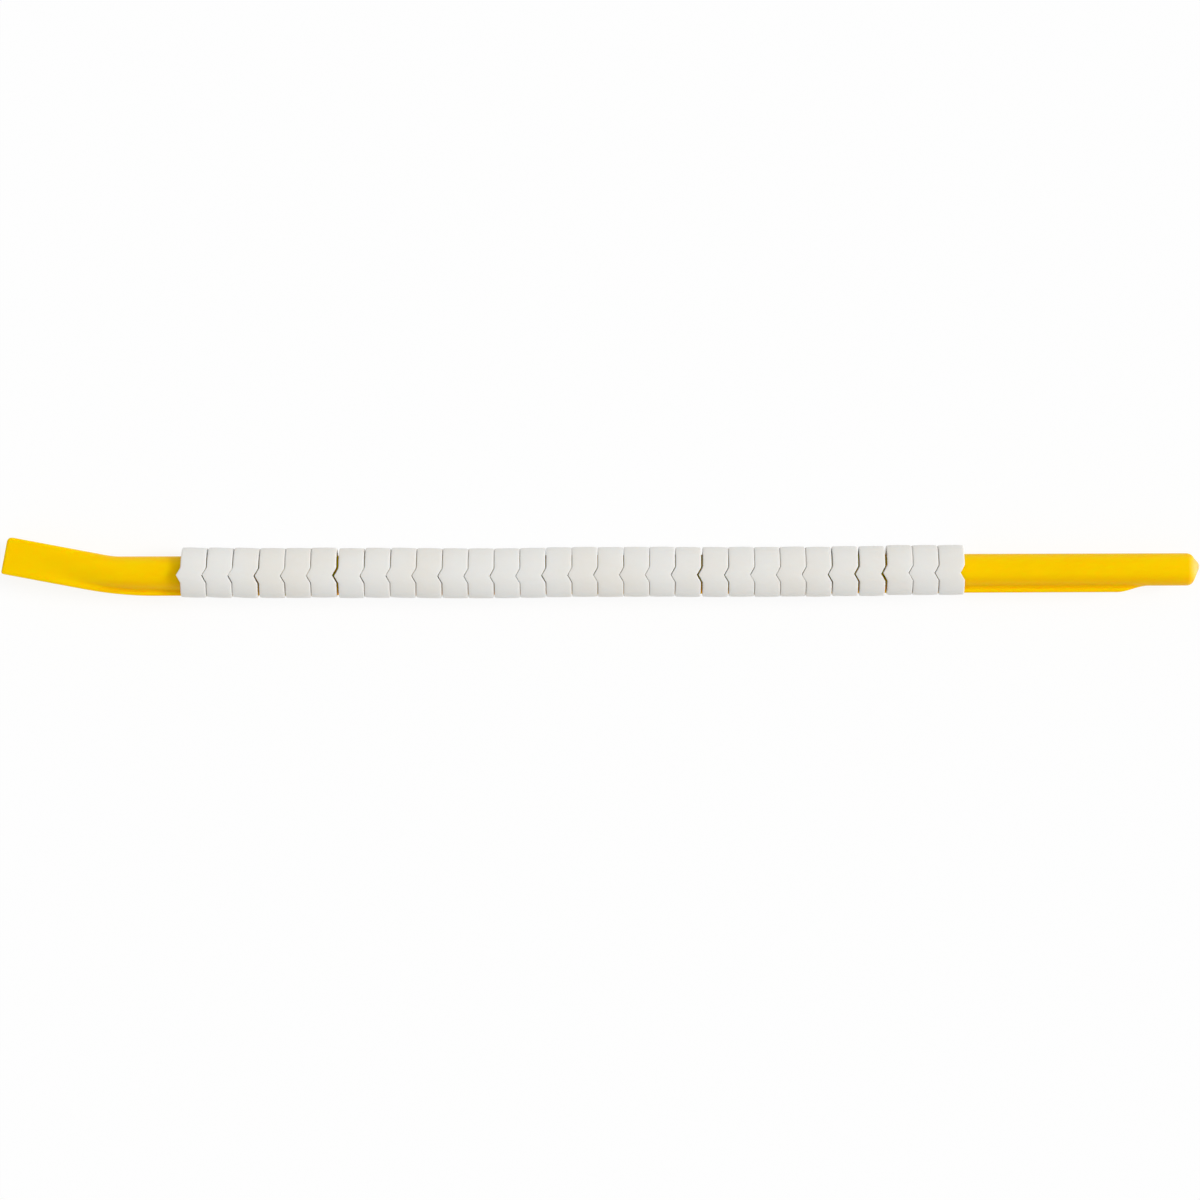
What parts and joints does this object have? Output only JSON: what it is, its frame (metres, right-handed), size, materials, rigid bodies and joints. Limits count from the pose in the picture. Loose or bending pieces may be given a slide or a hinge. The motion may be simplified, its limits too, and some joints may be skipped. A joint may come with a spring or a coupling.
{
  "type": "cable marker wand",
  "caption": "Slim moulded wand with a flat bent handle and a keel, carrying a row of blank clip-on cable marker sleeves that slide off its tip.",
  "frame": {"origin": "on the rod's axis, where the nose's straight wall ends and its rounded end begins", "axes": "+X along the rod out of its tip, +Y to the side that the handle bends to, +Z out of the sleeves' chevron side"},
  "size_m": [0.1833, 0.0095, 0.0077],
  "materials": {
    "wand_plastic": "yellow moulded plastic with a slight sheen",
    "sleeve_plastic": "blank white nylon, satin"
  },
  "bodies": {
    "wand": {"wand": "wand_plastic"},
    "sleeve_row": {"sleeve_01": "sleeve_plastic", "sleeve_02": "sleeve_plastic", "sleeve_03": "sleeve_plastic", "sleeve_04": "sleeve_plastic", "sleeve_05": "sleeve_plastic", "sleeve_06": "sleeve_plastic", "sleeve_07": "sleeve_plastic", "sleeve_08": "sleeve_plastic", "sleeve_09": "sleeve_plastic", "sleeve_10": "sleeve_plastic", "sleeve_11": "sleeve_plastic", "sleeve_12": "sleeve_plastic", "sleeve_13": "sleeve_plastic", "sleeve_14": "sleeve_plastic", "sleeve_15": "sleeve_plastic", "sleeve_16": "sleeve_plastic", "sleeve_17": "sleeve_plastic", "sleeve_18": "sleeve_plastic", "sleeve_19": "sleeve_plastic", "sleeve_20": "sleeve_plastic", "sleeve_21": "sleeve_plastic", "sleeve_22": "sleeve_plastic", "sleeve_23": "sleeve_plastic", "sleeve_24": "sleeve_plastic", "sleeve_25": "sleeve_plastic", "sleeve_26": "sleeve_plastic", "sleeve_27": "sleeve_plastic", "sleeve_28": "sleeve_plastic", "sleeve_29": "sleeve_plastic"},
    "front_sleeve": {"sleeve_30": "sleeve_plastic"}
  },
  "joints": [
    {"name": "row_slide", "type": "slide", "parent": "wand", "child": "sleeve_row", "axis": [1, 0, 0], "range_m": [-0.006, 0.0335]},
    {"name": "front_sleeve_slide", "type": "slide", "parent": "sleeve_row", "child": "front_sleeve", "axis": [1, 0, 0], "range_m": [0, 0.042]}
  ]
}
